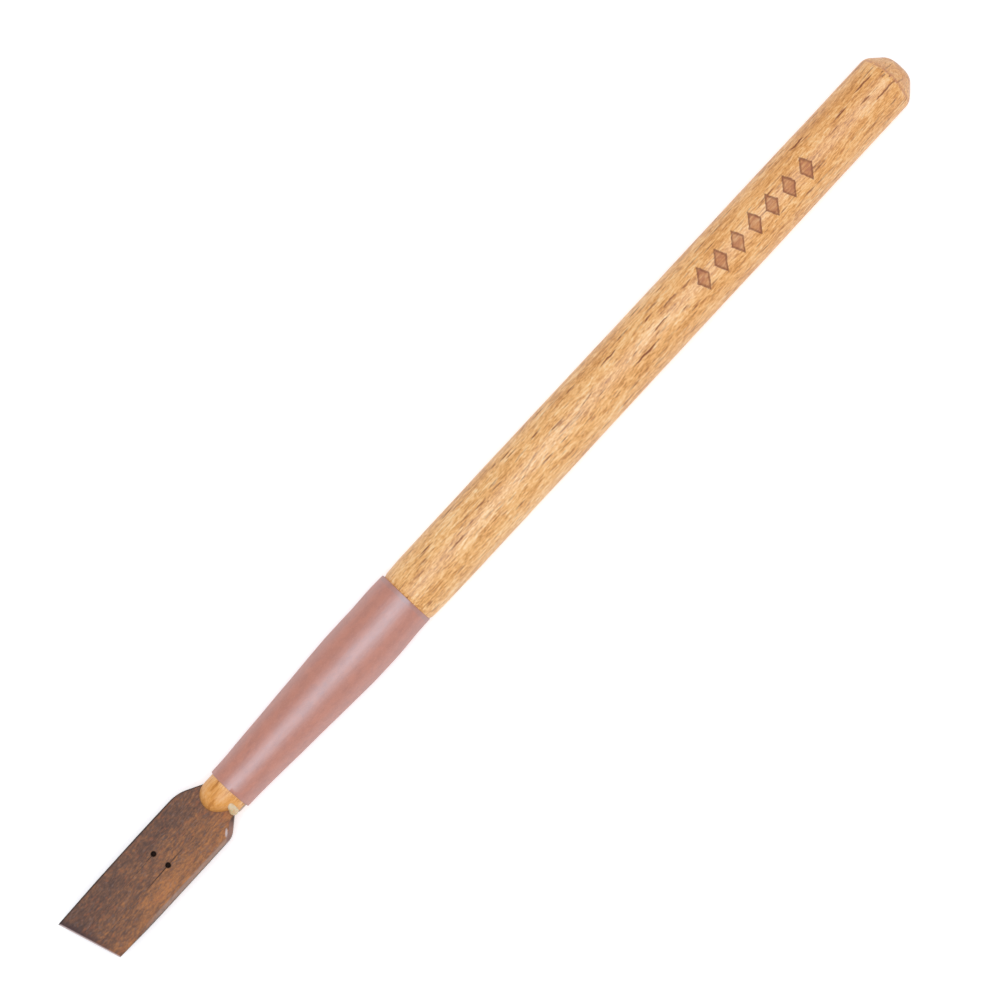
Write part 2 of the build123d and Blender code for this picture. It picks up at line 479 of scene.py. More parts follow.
GLUE_SHRINK = 0.012             # how far the glue in the kerf has shrunk back from the wood
BEAD_SHIFT = (0.28, -2.72, 2.00)
BEAD_HALF = (0.76, 0.58, 1.36)  # half sizes along the axis, out of the jaw and round the jaw
BEAD_SLANT = 0.24               # how far its upper end leans towards the butt
BEAD_TILT = radians(54)


def make_glue_line(plate):
    """Glue that fills the saw cut round the tang and ends a hair inside the jaws."""
    profile = handle_profile()
    profile = profile[profile[:, 0] < KERF_END_X - FRONT_X + 0.5]
    grid = handle_rings(profile, proud=-GLUE_SHRINK)
    blank = turned_piece("kerf_glue_shaded", grid, grid[0].mean(0), grid[-1].mean(0))
    cut = saw_cut(GLUE_SHRINK)
    carved(blank, [cut], "INTERSECT")
    carved(blank, [plate])
    discard([cut])
    return blank


def make_bead():
    """Drop of two lobes on the side of the upper jaw.

    An ellipsoid along the jaw's curve, drawn in at a waist and swelled by two low waves."""
    middle_x = (bead_low[0] + bead_high[0]) / 2
    centre = np.array([middle_x, 0, AXIS_Z]) + np.array(BEAD_SHIFT)
    lift = np.linspace(0, pi, 60)[1:-1, None]
    turn = np.linspace(0, 2 * pi, 80, endpoint=False)
    waist = 1.02 - 0.10 * np.cos(lift) - 0.17 * np.exp(-((lift - 1.35) / 0.34)**2)
    lumps = waist * (1 + 0.06 * np.sin(2 * turn + 0.4) * np.sin(lift) + 0.05 * np.cos(2 * lift + turn))
    axial = BEAD_HALF[0] * lumps * np.sin(lift) * np.cos(turn) + BEAD_SLANT * np.cos(lift)
    out = BEAD_HALF[1] * lumps * np.sin(lift) * np.sin(turn)
    round_jaw = BEAD_HALF[2] * np.cos(lift)
    outward = np.array([0, -sin(BEAD_TILT), cos(BEAD_TILT)])
    upward = np.array([0, cos(BEAD_TILT), sin(BEAD_TILT)])
    grid = axial[..., None] * [1, 0, 0] + out[..., None] * outward + round_jaw[..., None] * upward
    pole = np.array([BEAD_SLANT, 0, 0]) + BEAD_HALF[2] * upward
    return turned_piece("glue_drop", grid + centre, centre + pole, centre - pole, 180)


# ---------------------------------------------------------------- shaders

class Wiring:
    """Adds nodes to a tree. A value that is a socket is linked, and any other is set."""

    def __init__(self, tree):
        self.tree = tree

    def feed(self, made, inputs):
        """Links or sets each named or numbered input of a node."""
        for name, value in inputs.items():
            if isinstance(value, bpy.types.NodeSocket):
                self.tree.links.new(value, made.inputs[name])
            else:
                made.inputs[name].default_value = value

    def node(self, kind, inputs=None, **settings):
        made = self.tree.nodes.new("ShaderNode" + kind)
        for name, value in settings.items():
            setattr(made, name, value)
        self.feed(made, inputs or {})
        return made

    def vector_math(self, operation, a, b):
        return self.node("VectorMath", {0: a, 1: b}, operation=operation).outputs[0]

    def math(self, operation, *values):
        return self.node("Math", dict(enumerate(values)), operation=operation).outputs[0]

    def fade(self, value, low, high, start=0.0, end=1.0):
        """start at low, end at high, and a smooth step between them."""
        inputs = {"Value": value, "From Min": low, "From Max": high, "To Min": start, "To Max": end}
        return self.node("MapRange", inputs, interpolation_type="SMOOTHSTEP").outputs[0]

    def mix(self, share, a, b, blend="MIX"):
        made = self.node("Mix", {0: share, 6: a, 7: b}, data_type="RGBA", blend_type=blend)
        return made.outputs[2]

    def noise(self, vector, scale=1.0, detail=2.0, roughness=0.5, distortion=0.0):
        inputs = {"Vector": vector, "Scale": scale, "Detail": detail, "Roughness": roughness,
                  "Distortion": distortion}
        return self.node("TexNoise", inputs).outputs["Fac"]

    def stretched(self, vector, scale, turn=(0, 0, 0), shift=(0, 0, 0)):
        """The vector scaled, turned and then shifted."""
        inputs = {"Vector": vector, "Scale": scale, "Rotation": turn, "Location": shift}
        return self.node("Mapping", inputs).outputs[0]

    def parts(self, vector):
        return self.node("SeparateXYZ", {0: vector}).outputs

    def ramp(self, value, *stops):
        """Colour that runs smoothly through the stops, each a position and a colour."""
        made = self.node("ValToRGB", {"Fac": value})
        made.color_ramp.interpolation = "B_SPLINE"
        for position, _ in stops[2:]:
            made.color_ramp.elements.new(position)
        for element, (position, colour) in zip(made.color_ramp.elements, stops):
            element.position = position
            element.color = (*colour, 1)
        return made.outputs[0]

    def lean_on(self, vector, amount, scale, seed=0.0):
        """The vector, pushed sideways by slow noise so that lines along X wander."""
        slow = self.stretched(vector, scale, shift=(seed, seed, seed))
        push = self.node("TexNoise", {"Vector": slow, "Scale": 1.0, "Detail": 1.0}).outputs["Color"]
        centred = self.vector_math("SUBTRACT", push, (0.5, 0.5, 0.5))
        sized = self.vector_math("MULTIPLY", centred, (0, amount, amount))
        return self.vector_math("ADD", vector, sized)

    def group(self, tree, inputs):
        made = self.node("Group")
        made.node_tree = tree
        self.feed(made, inputs)
        return made.outputs

    def result(self, value, socket):
        """Links a finished value to the socket that gives it out."""
        self.tree.links.new(value, socket)


def new_group(name, sizes, results):
    """Shader group that takes a vector and some sizes, and gives some numbers that change over the surface.

    Gives the tree, its wiring, its input sockets and the sockets of its output node."""
    tree = bpy.data.node_groups.new(name, "ShaderNodeTree")
    tree.interface.new_socket("Vector", in_out="INPUT", socket_type="NodeSocketVector")
    for label, value in sizes.items():
        socket = tree.interface.new_socket(label, in_out="INPUT", socket_type="NodeSocketFloat")
        socket.default_value = value
    for label in results:
        tree.interface.new_socket(label, in_out="OUTPUT", socket_type="NodeSocketFloat")
    entry = tree.nodes.new("NodeGroupInput")
    leave = tree.nodes.new("NodeGroupOutput")
    return tree, Wiring(tree), entry.outputs, leave.inputs


def vessel_lines_group():
    """Short dark vessel lines: stretched cells, of which only some hold a mark with tapered ends."""
    sizes = {"Length": 6.0, "Width": 0.6, "Share": 0.4, "Size": 0.3, "Seed": 0.0}
    tree, w, given, result = new_group("vessel_lines", sizes, ["Mask", "Shade"])
    x, y, z = w.parts(given["Vector"])
    wander = w.noise(w.stretched(given["Vector"], (0.06, 0.25, 0.25)), detail=1.0)
    side = w.math("ADD", y, w.math("MULTIPLY", w.math("SUBTRACT", wander, 0.5), 1.2))
    scaled = w.node("CombineXYZ", {
        0: w.math("ADD", w.math("DIVIDE", x, given["Length"]), given["Seed"]),
        1: w.math("DIVIDE", side, given["Width"]),
        2: w.math("DIVIDE", z, given["Width"])}).outputs[0]
    cells = w.node("TexVoronoi", {"Vector": scaled, "Scale": 1.0, "Randomness": 1.0}).outputs
    kind, shade, grow = w.parts(cells["Color"])
    reach = w.math("MULTIPLY", given["Size"], w.math("MULTIPLY_ADD", grow, 0.8, 0.5))
    near = w.fade(w.math("DIVIDE", cells["Distance"], reach), 0.35, 1.0, 1.0, 0.0)
    present = w.math("LESS_THAN", kind, given["Share"])
    w.result(w.math("MULTIPLY", near, present), result["Mask"])
    w.result(shade, result["Shade"])
    return tree


def fibre_group():
    """Fine fibres: noise drawn out along X, as a value about 0.5."""
    tree, w, given, result = new_group("wood_fibres", {"Length": 4.0, "Width": 0.2}, ["Value"])
    x, y, z = w.parts(given["Vector"])
    scaled = w.node("CombineXYZ", {
        0: w.math("DIVIDE", x, given["Length"]),
        1: w.math("DIVIDE", y, given["Width"]),
        2: w.math("DIVIDE", z, given["Width"])}).outputs[0]
    w.result(w.noise(scaled, detail=3.0, roughness=0.6), result["Value"])
    return tree


def lozenge_group():
    """Burned ornament on the upper side: a row of leaning lozenges with a darker outline.

    A point is in a lozenge where its distance along, over the half length, and its distance across, over
    the half height, add up to less than 1. Noise makes the outline uneven."""
    sizes = {"Start": 0.0, "Pitch": 4.0, "Count": 6.0, "Across": 0.0, "Half Length": 1.3,
             "Half Height": 2.0, "Lean": 0.2, "Level": 5.2}
    tree, w, given, result = new_group("burned_lozenges", sizes, ["Fill", "Outline"])
    x, y, z = w.parts(given["Vector"])
    side = w.math("SUBTRACT", y, given["Across"])
    upright = w.math("SUBTRACT", x, w.math("MULTIPLY", side, given["Lean"]))
    step = w.math("DIVIDE", w.math("SUBTRACT", upright, given["Start"]), given["Pitch"])
    local = w.math("MULTIPLY", w.math("SUBTRACT", w.math("FRACT", step), 0.5), given["Pitch"])
    wobble = w.math("MULTIPLY", w.math("SUBTRACT", w.noise(given["Vector"], 1.6, detail=3.0), 0.5), 0.42)
    flat = w.math("ADD", w.math("DIVIDE", w.math("ABSOLUTE", local), given["Half Length"]),
                  w.math("DIVIDE", w.math("ABSOLUTE", side), given["Half Height"]))
    edge = w.math("ADD", flat, wobble)
    in_row = w.math("MULTIPLY", w.math("GREATER_THAN", step, 0.0), w.math("LESS_THAN", step, given["Count"]))
    inside = w.math("MULTIPLY", in_row, w.math("GREATER_THAN", z, given["Level"]))
    w.result(w.math("MULTIPLY", inside, w.fade(edge, 0.96, 1.06, 1.0, 0.0)), result["Fill"])
    ring = w.math("MULTIPLY", w.fade(edge, 0.60, 0.86), w.fade(edge, 0.98, 1.12, 1.0, 0.0))
    w.result(w.math("MULTIPLY", inside, ring), result["Outline"])
    return tree


def long_line_group():
    """One long vessel line: a thin spindle along X with a ragged edge."""
    sizes = {"X": 0.0, "Y": 0.0, "Half Length": 2.0, "Half Width": 0.16, "Level": 5.2}
    tree, w, given, result = new_group("long_vessel", sizes, ["Mask"])
    x, y, z = w.parts(given["Vector"])
    wander = w.math("MULTIPLY", w.math("SUBTRACT", w.noise(given["Vector"], 0.8, detail=2.0), 0.5), 0.5)
    along = w.math("DIVIDE", w.math("SUBTRACT", x, given["X"]), given["Half Length"])
    across = w.math("DIVIDE", w.math("SUBTRACT", w.math("ADD", y, wander), given["Y"]), given["Half Width"])
    away = w.math("ADD", w.math("POWER", w.math("ABSOLUTE", along), 2.0),
                  w.math("POWER", w.math("ABSOLUTE", across), 2.0))
    ragged = w.noise(w.stretched(given["Vector"], (1.2, 5.0, 5.0)), detail=2.0)
    away = w.math("ADD", away, w.math("MULTIPLY", w.math("SUBTRACT", ragged, 0.5), 1.6))
    above = w.math("GREATER_THAN", z, given["Level"])
    w.result(w.math("MULTIPLY", above, w.fade(away, 0.3, 1.1, 1.0, 0.0)), result["Mask"])
    return tree


def new_material(name):
    """Empty material, its wiring, and the place on the object in millimetres."""
    made = bpy.data.materials.new(name)
    made.use_nodes = True
    made.node_tree.nodes.clear()
    w = Wiring(made.node_tree)
    metres = w.node("TexCoord").outputs["Object"]
    return made, w, w.stretched(metres, (1000, 1000, 1000))


def finish_material(w, colour, roughness, height, depth, **constants):
    """Principled shader with a bump of the given depth in millimetres, and its constants set on it."""
    bump = w.node("Bump", {"Height": height, "Strength": 1.0, "Distance": depth * MM}).outputs[0]
    inputs = {"Base Color": colour, "Roughness": roughness, "Normal": bump}
    shader = w.node("BsdfPrincipled", inputs)
    for name, value in constants.items():
        shader.inputs[name.replace("_", " ")].default_value = value
    w.result(shader.outputs[0], w.node("OutputMaterial").inputs["Surface"])


# Long dark vessel lines: distance from the tip, offset to the side, half length, half width, strength
LONG_LINES = [
    (30.0, 0.15, 1.7, 0.26, 1.0), (32.7, 1.65, 1.4, 0.24, 1.0), (93.0, 0.95, 1.3, 0.15, 0.8),
    (123.4, 1.9, 2.2, 0.15, 0.9), (127.9, -1.95, 3.4, 0.16, 0.95), (132.7, -0.5, 2.4, 0.15, 0.85),
    (136.3, 1.0, 1.8, 0.15, 0.8), (140.0, 0.8, 1.5, 0.15, 0.7), (167.6, 3.2, 1.9, 0.16, 0.95),
    (181.5, 1.95, 2.3, 0.15, 0.9), (183.0, -1.35, 2.8, 0.15, 0.85), (179.9, -0.1, 1.2, 0.15, 0.8),
    (186.1, 0.9, 0.8, 0.15, 0.6), (185.7, -1.9, 0.9, 0.15, 0.55),
]


def beech(marks, fibres, lozenges, line):
    """Oiled beech: golden figure, red-brown vessel lines, deeper front end and burned lozenges."""
    made, w, mm = new_material("oiled_beech")
    grain = w.lean_on(w.stretched(mm, (1, 1, 1), turn=(0, 0, radians(-1.6))), 1.5, (0.06, 0.10, 0.10))
    fine = w.group(fibres, {"Vector": grain, "Length": 1.5, "Width": 0.26})["Value"]
    figure = w.group(fibres, {"Vector": grain, "Length": 4.2, "Width": 0.62})["Value"]
    patch = w.group(fibres, {"Vector": grain, "Length": 11.0, "Width": 1.9})["Value"]
    thread = w.group(fibres, {"Vector": grain, "Length": 0.55, "Width": 0.13})["Value"]
    tone = w.math("MULTIPLY", w.fade(thread, 0.32, 0.68), 0.32)
    tone = w.math("MULTIPLY_ADD", w.fade(fine, 0.30, 0.70), 0.28, tone)
    tone = w.math("MULTIPLY_ADD", w.fade(figure, 0.32, 0.68), 0.22, tone)
    tone = w.math("MULTIPLY_ADD", w.fade(patch, 0.34, 0.66), 0.18, tone)
    colour = w.ramp(tone, (0.16, (0.49, 0.195, 0.050)), (0.40, (0.79, 0.380, 0.115)),
                    (0.60, (0.955, 0.525, 0.198)), (0.86, (1.0, 0.73, 0.42)))
    long_marks = w.group(marks, {"Vector": grain, "Length": 8.0, "Width": 0.70, "Share": 0.42, "Size": 0.30})
    mid_marks = w.group(marks, {
        "Vector": grain, "Length": 4.6, "Width": 0.50, "Share": 0.85, "Size": 0.35, "Seed": 17.0})
    small_marks = w.group(marks, {
        "Vector": grain, "Length": 2.4, "Width": 0.36, "Share": 0.85, "Size": 0.36, "Seed": 37.0})
    broken = w.fade(fine, 0.62, 0.45)
    depth = w.math("MULTIPLY", long_marks["Mask"], w.fade(long_marks["Shade"], 0.0, 1.0, 0.45, 0.95))
    mid_depth = w.math("MULTIPLY", mid_marks["Mask"], w.fade(mid_marks["Shade"], 0.0, 1.0, 0.35, 1.0))
    depth = w.math("MAXIMUM", depth, mid_depth)
    depth = w.math("MULTIPLY", depth, w.math("MULTIPLY_ADD", broken, 0.5, 0.5))
    for behind, side, reach, half_width, strength in LONG_LINES:
        mask = w.group(line, {"Vector": mm, "X": TIP_X + behind, "Y": side, "Half Length": reach,
                              "Half Width": half_width, "Level": AXIS_Z})["Mask"]
        depth = w.math("MAXIMUM", depth, w.math("MULTIPLY", mask, strength))
    colour = w.mix(w.math("MULTIPLY", small_marks["Mask"], 0.55), colour, (0.44, 0.155, 0.058, 1))
    colour = w.mix(depth, colour, (0.26, 0.080, 0.032, 1))

    x, y = w.parts(mm)[:2]
    rear = w.fade(x, FRONT_X + 55, BUTT_X - 20, 0.0, 1.0)
    colour = w.mix(w.math("MULTIPLY", rear, 0.30), colour, (0.94, 0.72, 0.48, 1), "MULTIPLY")
    front = w.fade(x, sleeve_low[0] + 1, sleeve_low[0] - 1)
    colour = w.mix(w.math("MULTIPLY", front, 0.66), colour, (0.77, 0.310, 0.050, 1))
    butt = w.fade(x, BUTT_X - 2.6, BUTT_X - 2.2)
    colour = w.mix(w.math("MULTIPLY", butt, 0.20), colour, (0.62, 0.33, 0.19, 1))
    rim = w.fade(x, BUTT_X - 0.45, BUTT_X - 0.10)
    colour = w.mix(w.math("MULTIPLY", rim, 0.35), colour, (0.42, 0.24, 0.15, 1))
    bow = w.math("ADD", x, w.math("MULTIPLY", w.math("POWER", w.math("ABSOLUTE", y), 2.0), 0.035))
    rising = w.fade(bow, BUTT_X - 2.75, BUTT_X - 2.45)
    arris = w.math("MULTIPLY", rising, w.fade(bow, BUTT_X - 2.35, BUTT_X - 2.05, 1, 0))
    arris = w.math("MULTIPLY", arris, w.fade(figure, 0.38, 0.58, 0.10, 0.70))
    colour = w.mix(arris, colour, (0.52, 0.180, 0.085, 1))
    end_grain = w.noise(w.stretched(mm, (1.1, 1.1, 1.1), shift=(2, 9, 5)), detail=3.0, roughness=0.6)
    mottled = w.math("MULTIPLY", butt, w.fade(end_grain, 0.46, 0.66, 0.0, 0.42))
    colour = w.mix(mottled, colour, (0.56, 0.225, 0.110, 1))

    burned = w.group(lozenges, {
        "Vector": mm, "Start": LOZENGE_START, "Pitch": LOZENGE_PITCH, "Count": float(LOZENGES),
        "Across": LOZENGE_Y, "Half Length": LOZENGE_HALF[0], "Half Height": LOZENGE_HALF[1],
        "Lean": LOZENGE_LEAN, "Level": AXIS_Z})
    scorched = w.math("MULTIPLY", burned["Fill"], w.fade(fine, 0.3, 0.7, 0.86, 0.46))
    colour = w.mix(scorched, colour, (0.47, 0.182, 0.098, 1))
    colour = w.mix(w.math("MULTIPLY", burned["Outline"], 0.54), colour, (0.20, 0.066, 0.034, 1))

    height = w.math("SUBTRACT", w.math("MULTIPLY", fine, 0.6), w.math("MULTIPLY", depth, 0.8))
    open_grain = w.math("MAXIMUM", depth, burned["Fill"])
    matt = w.math("MULTIPLY", open_grain, 0.95)
    roughness = w.math("MAXIMUM", w.fade(fine, 0.2, 0.8, 0.38, 0.52), matt)
    finish_material(w, colour, roughness, height, 0.02, IOR=1.52, Specular_Tint=(0.65, 0.88, 1.0, 1))
    return made


def dark_hardwood(marks, fibres, line):
    """Dark fibrous hardwood: mottled brown, darker at the tip, warmer towards -Y, with fine pores.

    Holes: dried ink and painted shade of the bores; slit and writing edge: ink. Painted light: a reflection
    on the eased writing edge, shade along the +Y edge and on the -Y side wall, a highlight on the -Y arris,
    sheen, a glint and shade on the -Y shoulder."""
    made, w, mm = new_material("dark_hardwood")
    upper_face = AXIS_Z + NIB_TOP
    straight = w.stretched(mm, (1, 1, 1), turn=(0, 0, -SLIT_SKEW))
    grain = w.lean_on(straight, 1.6, (0.08, 0.12, 0.12), 5.0)
    grain = w.lean_on(grain, 0.55, (0.45, 0.50, 0.50), 9.0)
    x, y, z = w.parts(mm)
    fine = w.group(fibres, {"Vector": grain, "Length": 0.65, "Width": 0.17})["Value"]
    figure = w.group(fibres, {"Vector": grain, "Length": 1.9, "Width": 0.42})["Value"]
    patch = w.group(fibres, {"Vector": grain, "Length": 9.0, "Width": 2.4})["Value"]
    speck = w.noise(w.stretched(mm, (1.6, 2.6, 2.6)), detail=3.0, roughness=0.65)
    tone = w.math("MULTIPLY", w.fade(speck, 0.32, 0.68), 0.26)
    tone = w.math("MULTIPLY_ADD", w.fade(fine, 0.30, 0.70), 0.30, tone)
    tone = w.math("MULTIPLY_ADD", w.fade(figure, 0.30, 0.70), 0.26, tone)
    tone = w.math("MULTIPLY_ADD", w.fade(patch, 0.34, 0.66), 0.18, tone)
    tone = w.math("ADD", tone, w.fade(y, 4.0, -4.6, -0.125, 0.15))
    tip = w.math("MULTIPLY", w.fade(x, TIP_X + 15, TIP_X + 6), w.fade(y, 5.0, 1.0, 0.6, 1.0))
    tone = w.math("MULTIPLY_ADD", tip, -0.14, tone)
    warm = w.math("MULTIPLY", w.fade(y, -1.6, -3.4), w.fade(patch, 0.36, 0.56))
    tone = w.math("MULTIPLY_ADD", warm, 0.10, tone)
    rear = w.math("MULTIPLY", w.fade(y, -2.2, -3.3), w.fade(x, TIP_X + 12, TIP_X + 18))
    tone = w.math("MULTIPLY_ADD", rear, 0.10, tone)
    colour = w.ramp(tone, (0.0, (0.074, 0.043, 0.036)), (0.35, (0.158, 0.079, 0.053)),
                    (0.62, (0.240, 0.109, 0.056)), (1.0, (0.50, 0.200, 0.070)))
    pale = w.group(fibres, {"Vector": grain, "Length": 0.9, "Width": 0.32})["Value"]
    colour = w.mix(w.fade(pale, 0.52, 0.74, 0.0, 0.34), colour, (0.27, 0.190, 0.170, 1))
    rusty = w.noise(w.stretched(mm, (0.9, 1.7, 1.7), shift=(31, 7, 3)), detail=3.0, roughness=0.6)
    colour = w.mix(w.fade(rusty, 0.52, 0.72, 0.0, 0.42), colour, (0.36, 0.120, 0.052, 1))
    pores = w.group(marks, {
        "Vector": grain, "Length": 2.2, "Width": 0.28, "Share": 0.45, "Size": 0.32, "Seed": 11.0})
    colour = w.mix(w.math("MULTIPLY", pores["Mask"], 0.38), colour, (0.050, 0.026, 0.020, 1))

    # The holes and a ring round their mouths are painted near black: dried ink, and in part painted shade of
    # the deep bores. The hairline along the slit is ink.
    burn = 0.0
    for distance, offset in HOLES:
        dx = w.math("SUBTRACT", x, TIP_X + distance)
        dy = w.math("SUBTRACT", y, offset)
        away = w.math("SQRT", w.math("ADD", w.math("POWER", dx, 2.0), w.math("POWER", dy, 2.0)))
        burn = w.math("MAXIMUM", w.fade(away, 0.36, 0.62, 1.0, 0.0), burn)
    trail = w.math("MULTIPLY_ADD", w.math("SUBTRACT", x, TIP_X + HOLES[1][0]), 0.03, HOLES[1][1])
    hair = w.math("ABSOLUTE", w.math("SUBTRACT", y, trail))
    span_of_hair = w.math("MULTIPLY", w.fade(x, TIP_X + 12.5, TIP_X + 16.0),
                          w.fade(x, TIP_X + 20.0, TIP_X + 22.5, 1.0, 0.0))
    hair = w.math("MULTIPLY", w.fade(hair, 0.03, 0.14, 1.0, 0.0), span_of_hair)
    ink_and_shade = w.math("MAXIMUM", w.math("MULTIPLY", burn, 0.95), w.math("MULTIPLY", hair, 0.62))
    colour = w.mix(ink_and_shade, colour, (0.016, 0.009, 0.007, 1))

    slant = EDGE_SET_BACK / (LONG_CORNER_Y - SHORT_CORNER_Y)
    behind = w.math("SUBTRACT", x, w.math("MULTIPLY_ADD", y, -slant, TIP_X + LONG_CORNER_Y * slant))
    inked = w.math("MULTIPLY", w.fade(behind, 1.5, 0.4), w.fade(y, -4.5, 2.0, 0.25, 0.75))
    colour = w.mix(inked, colour, (0.060, 0.034, 0.036, 1))
    # Painted reflection: the eased writing edge is made pale, as if it mirrored the bright floor.
    edge_reflection = w.math("MULTIPLY", w.fade(behind, 0.30, 0.14), w.fade(fine, 0.3, 0.7, 0.75, 1.0))
    colour = w.mix(edge_reflection, colour, (0.60, 0.46, 0.44, 1))
    # Painted shade: a dark band just inside the +Y edge and its shoulder on the top face, where the arris
    # turns away from the light.
    behind_corner = w.math("SUBTRACT", x, TIP_X)
    slope = 0.53                # how fast the +Y shoulder falls towards the axis
    shoulder = w.math("MULTIPLY_ADD", behind_corner, -slope, LEFT_SIDE[3][1] + slope * LEFT_SIDE[3][0])
    outline = w.math("MINIMUM", w.math("MULTIPLY_ADD", behind_corner, 0.022, LONG_CORNER_Y), 5.55)
    left_edge = w.math("SUBTRACT", y, w.math("MINIMUM", outline, shoulder))
    colour = w.mix(w.fade(left_edge, -0.30, -0.12, 0.0, 0.85), colour, (0.036, 0.021, 0.018, 1))
    upper = w.fade(z, upper_face - 0.35, upper_face - 0.15)
    # Painted highlight: a pale line along the top of the -Y arris.
    arris_highlight = w.math("MULTIPLY", w.fade(y, -4.78, -5.12), w.fade(x, TIP_X + 7, TIP_X + 14))
    arris_highlight = w.math("MULTIPLY", arris_highlight, w.math("MULTIPLY", upper, w.fade(fine, 0.3, 0.7, 0.45, 0.75)))
    colour = w.mix(arris_highlight, colour, (0.37, 0.27, 0.23, 1))
    # Painted shade on the -Y side wall below the arris.
    side_wall_shade = w.math("MULTIPLY", w.fade(y, -5.0, -5.3), w.fade(z, upper_face - 0.10, upper_face - 0.3))
    colour = w.mix(w.math("MULTIPLY", side_wall_shade, 0.7), colour, (0.060, 0.040, 0.036, 1))
    # Painted sheen on the sanded -Y shoulder facet, with painted shade darkening it where it runs in beside
    # the handle's front end.
    facet_sheen = w.math("MULTIPLY", w.fade(z, upper_face - 0.03, upper_face - 0.10), w.fade(y, -2.6, -3.4))
    facet_sheen = w.math("MULTIPLY", facet_sheen, w.fade(x, TIP_X + 26.6, TIP_X + 27.6))
    jaw_shade = w.fade(x, TIP_X + 29.3, TIP_X + 31.0)
    facet = w.mix(jaw_shade, (0.29, 0.168, 0.143, 1), (0.050, 0.034, 0.032, 1))
    colour = w.mix(w.math("MULTIPLY", facet_sheen, 0.8), colour, facet)
    # Painted highlight: a pale glint on the -Y shoulder.
    glint_x = TIP_X + GLINT_AT[0]
    glint = w.group(line, {
        "Vector": w.stretched(mm, (1, 1, 1), turn=(0, 0, -GLINT_TURN)),
        "X": glint_x * cos(GLINT_TURN) + GLINT_AT[1] * sin(GLINT_TURN),
        "Y": GLINT_AT[1] * cos(GLINT_TURN) - glint_x * sin(GLINT_TURN),
        "Half Length": 0.85, "Half Width": 0.26, "Level": AXIS_Z})["Mask"]
    colour = w.mix(w.math("MULTIPLY", glint, 0.75), colour, (0.62, 0.55, 0.56, 1))

    height = w.math("SUBTRACT", fine, w.math("MULTIPLY", pores["Mask"], 0.9))
    roughness = w.math("MAXIMUM", w.fade(fine, 0.2, 0.8, 0.50, 0.68), burn)
    finish_material(w, colour, roughness, height, 0.014, IOR=1.45, Specular_IOR_Level=0.22)
    return made


def shrink_tube():
    """Rosy-brown shrink tube with a satin surface, fine mottling and faint lengthwise drawing marks."""
    made, w, mm = new_material("shrink_tube")
    cloud = w.noise(w.stretched(mm, (0.4, 0.8, 0.8)), detail=3.0)
    colour = w.mix(w.fade(cloud, 0.3, 0.7), (0.60, 0.165, 0.063, 1), (0.515, 0.135, 0.048, 1))
    speck = w.noise(mm, 5.0, detail=3.0, roughness=0.7)
    colour = w.mix(w.fade(speck, 0.42, 0.70, 0.0, 0.42), colour, (0.66, 0.26, 0.16, 1))
    blotch = w.noise(w.stretched(mm, (0.9, 1.6, 1.6), shift=(4, 8, 2)), detail=3.0, roughness=0.65)
    colour = w.mix(w.fade(blotch, 0.48, 0.70, 0.0, 0.30), colour, (0.42, 0.100, 0.045, 1))
    drawn = w.noise(w.stretched(mm, (0.15, 2.4, 2.4)), detail=2.0)
    x = w.parts(mm)[0]
    ends = w.math("MAXIMUM", w.fade(x, sleeve_low[0] + 0.5, sleeve_low[0] + 0.1),
                  w.fade(x, sleeve_high[0] - 0.5, sleeve_high[0] - 0.1))
    colour = w.mix(w.math("MULTIPLY", ends, 0.35), colour, (0.33, 0.15, 0.12, 1))
    height = w.math("ADD", w.math("MULTIPLY", speck, 0.5), drawn)
    finish_material(w, colour, w.fade(speck, 0.3, 0.7, 0.49, 0.60), height, 0.020, IOR=2.1,
                    Specular_IOR_Level=0.85, Specular_Tint=(0.55, 0.85, 1.0, 1))
    return made


def dried_glue(name, deep, pale):
    """Cloudy glue between two colours, with a soft gloss and light that bleeds a little through it."""
    made, w, mm = new_material(name)
    cloud = w.noise(mm, 0.9, detail=2.0)
    colour = w.mix(w.fade(cloud, 0.35, 0.65), deep, pale)
    height = w.noise(mm, 1.4, detail=1.0)
    finish_material(w, colour, w.fade(cloud, 0.3, 0.7, 0.30, 0.44), height, 0.02, IOR=1.48,
                    Subsurface_Weight=0.2, Subsurface_Scale=0.0004)
    return made


def paper_white():
    """Pale matt floor that also glows faintly, like a light table under paper."""
    made, w, mm = new_material("pale_floor")
    tooth = w.noise(mm, 0.4, detail=3.0)
    finish_material(w, (0.90, 0.90, 0.905, 1), w.fade(tooth, 0.3, 0.7, 0.7, 0.8), tooth, 0.02,
                    Emission_Color=(1, 1, 1, 1), Emission_Strength=0.33)
    return made


# ---------------------------------------------------------------- stage

VIEW_WIDTH = 156.34             # millimetres across the picture
VIEW_TURN = radians(47.33)      # the pen points up to the right
VIEW_TILT = radians(6.5)        # and is seen from slightly towards -Y
VIEW_TARGET = (1.71, -0.24, AXIS_Z)
CAMERA_AWAY = 900.0
SENSOR_WIDTH = 36
SOFTBOX_AWAY = 1600.0
SOFTBOX_SIZE = 1150
SOFTBOX_WATTS = 16.3
FLOOR_HALF = 1500


def stand_off(distance):
    """Place and orientation at a distance from the pen along the line of sight."""
    right = Vector((cos(VIEW_TURN), -sin(VIEW_TURN), 0))
    toward = Vector((0, -sin(VIEW_TILT), cos(VIEW_TILT)))
    right = (right - toward * right.dot(toward)).normalized()
    up = toward.cross(right)
    spot = (Vector(VIEW_TARGET) + toward * distance) * MM
    return Matrix.Translation(spot) @ Matrix((right, up, toward)).transposed().to_4x4()


def make_camera():
    """Long lens on the line of sight. The view is VIEW_WIDTH wide at the pen."""
    data = bpy.data.cameras.new("camera")
    data.sensor_width = SENSOR_WIDTH
    data.lens = SENSOR_WIDTH * CAMERA_AWAY / VIEW_WIDTH
    camera = piece_of("camera", data)
    camera.matrix_world = stand_off(CAMERA_AWAY)
    bpy.context.scene.camera = camera


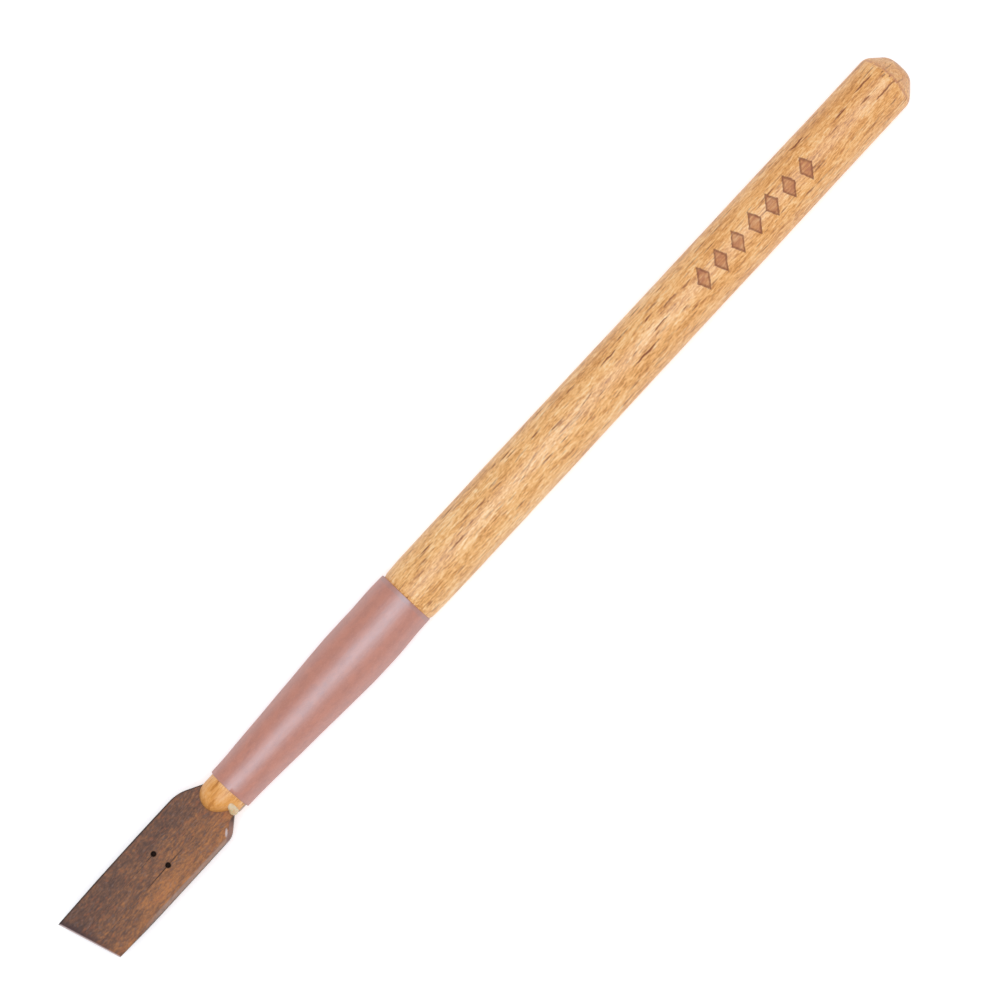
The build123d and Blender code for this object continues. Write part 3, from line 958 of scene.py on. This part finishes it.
def make_softbox():
    """Large round light behind the camera, aimed at the pen."""
    data = bpy.data.lights.new("overhead", "AREA")
    data.color = (0.95, 1.0, 1.07)
    data.shape = "DISK"
    data.size = SOFTBOX_SIZE * MM
    data.energy = SOFTBOX_WATTS
    spot = stand_off(SOFTBOX_AWAY).translation
    turn = (spot - Vector(VIEW_TARGET) * MM).to_track_quat("Z", "Y").to_matrix().to_4x4()
    piece_of("overhead", data).matrix_world = Matrix.Translation(spot) @ turn


def make_stage():
    """Flat pale floor, one softbox and a soft surrounding light."""
    line = np.linspace(-FLOOR_HALF, FLOOR_HALF, 4)
    x, y = np.meshgrid(line, line, indexing="ij")
    points = np.stack([x, y, 0 * x], -1).reshape(-1, 3)
    index = np.arange(16).reshape(4, 4)
    faces = np.stack([index[:-1, :-1], index[1:, :-1], index[1:, 1:], index[:-1, 1:]], -1).reshape(-1, 4)
    ground = piece_of("ground", mesh_of("ground", points, faces.tolist(), solid=False))
    ground.data.materials.append(paper_white())
    make_softbox()
    world = bpy.data.worlds.new("studio")
    world.use_nodes = True
    background = world.node_tree.nodes["Background"].inputs
    background["Color"].default_value = (0.97, 0.98, 1.0, 1)
    background["Strength"].default_value = 0.46
    bpy.context.scene.world = world
    bpy.context.scene.view_settings.view_transform = "Standard"


# ---------------------------------------------------------------- assembly

def stand_for(piece, node, material):
    """The piece takes the node's place, with its own material."""
    piece.data.materials.clear()
    piece.data.materials.append(material)
    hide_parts(node)
    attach(piece, "root")


marks = vessel_lines_group()
fibres = fibre_group()
nib = make_nib()
line = long_line_group()
# The glue in the kerf takes a darker copy of the glue: partly its own deeper amber, partly painted shade of
# the narrow gap it sits in.
glue_with_painted_shade = dried_glue("kerf_glue_shaded", (0.30, 0.155, 0.065, 1), (0.42, 0.24, 0.11, 1))
pale_glue = dried_glue("dried_glue", (0.66, 0.46, 0.24, 1), (0.76, 0.60, 0.40, 1))
stand_for(make_handle(), "handle", beech(marks, fibres, lozenge_group(), line))
stand_for(make_sleeve(), "grip_sleeve", shrink_tube())
stand_for(make_glue_line(nib), "glue_line", glue_with_painted_shade)
stand_for(make_bead(), "glue_bead", pale_glue)
stand_for(nib, "nib", dark_hardwood(marks, fibres, line))
make_stage()
make_camera()
